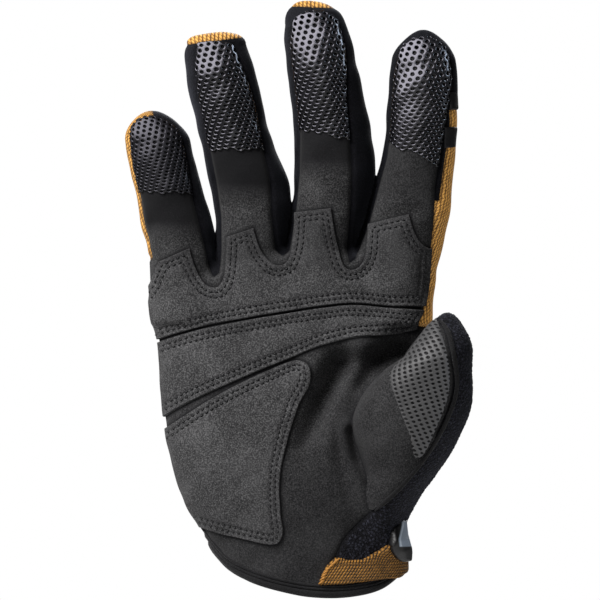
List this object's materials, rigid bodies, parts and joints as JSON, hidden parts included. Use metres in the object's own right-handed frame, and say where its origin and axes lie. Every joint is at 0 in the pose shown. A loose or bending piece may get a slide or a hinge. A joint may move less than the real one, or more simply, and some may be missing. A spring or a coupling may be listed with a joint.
{
  "type": "tactical glove",
  "caption": "Right-hand tactical work glove held upright as worn: suede-look palm with sewn pads, perforated rubber fingertip grips, woven back, terry thumb, bound cuff and wrist strap.",
  "frame": {"origin": "middle of the wrist opening, level with the lowest point of the cuff", "axes": "+Z from the wrist to the fingertips, -Y out of the palm, +X towards the thumb"},
  "size_m": [0.1303, 0.0693, 0.223],
  "materials": {
    "suede": "matt synthetic suede with a fine speckle",
    "woven": "ribbed ochre nylon weave",
    "spandex": "smooth black stretch knit",
    "terry": "black looped terry cloth",
    "grip_rubber": "glossy, perforated",
    "moulded_rubber": "smooth satin"
  },
  "bodies": {
    "root": {"palm_panel": "suede", "thumb_front": "suede", "knuckle_pad": "suede", "palm_band": "suede", "heel_pad": "suede", "back_panel": "woven", "wrist_strap": "woven", "fourchette_little_ring": "spandex", "fourchette_ring_middle": "spandex", "fourchette_middle_index": "spandex", "index_side_wall": "spandex", "cuff_binding": "spandex", "thumb_back": "terry", "grip_little": "grip_rubber", "grip_ring": "grip_rubber", "grip_middle": "grip_rubber", "grip_index": "grip_rubber", "grip_thumb": "grip_rubber", "index_bar_upper": "moulded_rubber", "index_bar_lower": "moulded_rubber", "closure_tab": "moulded_rubber"}
  },
  "joints": []
}
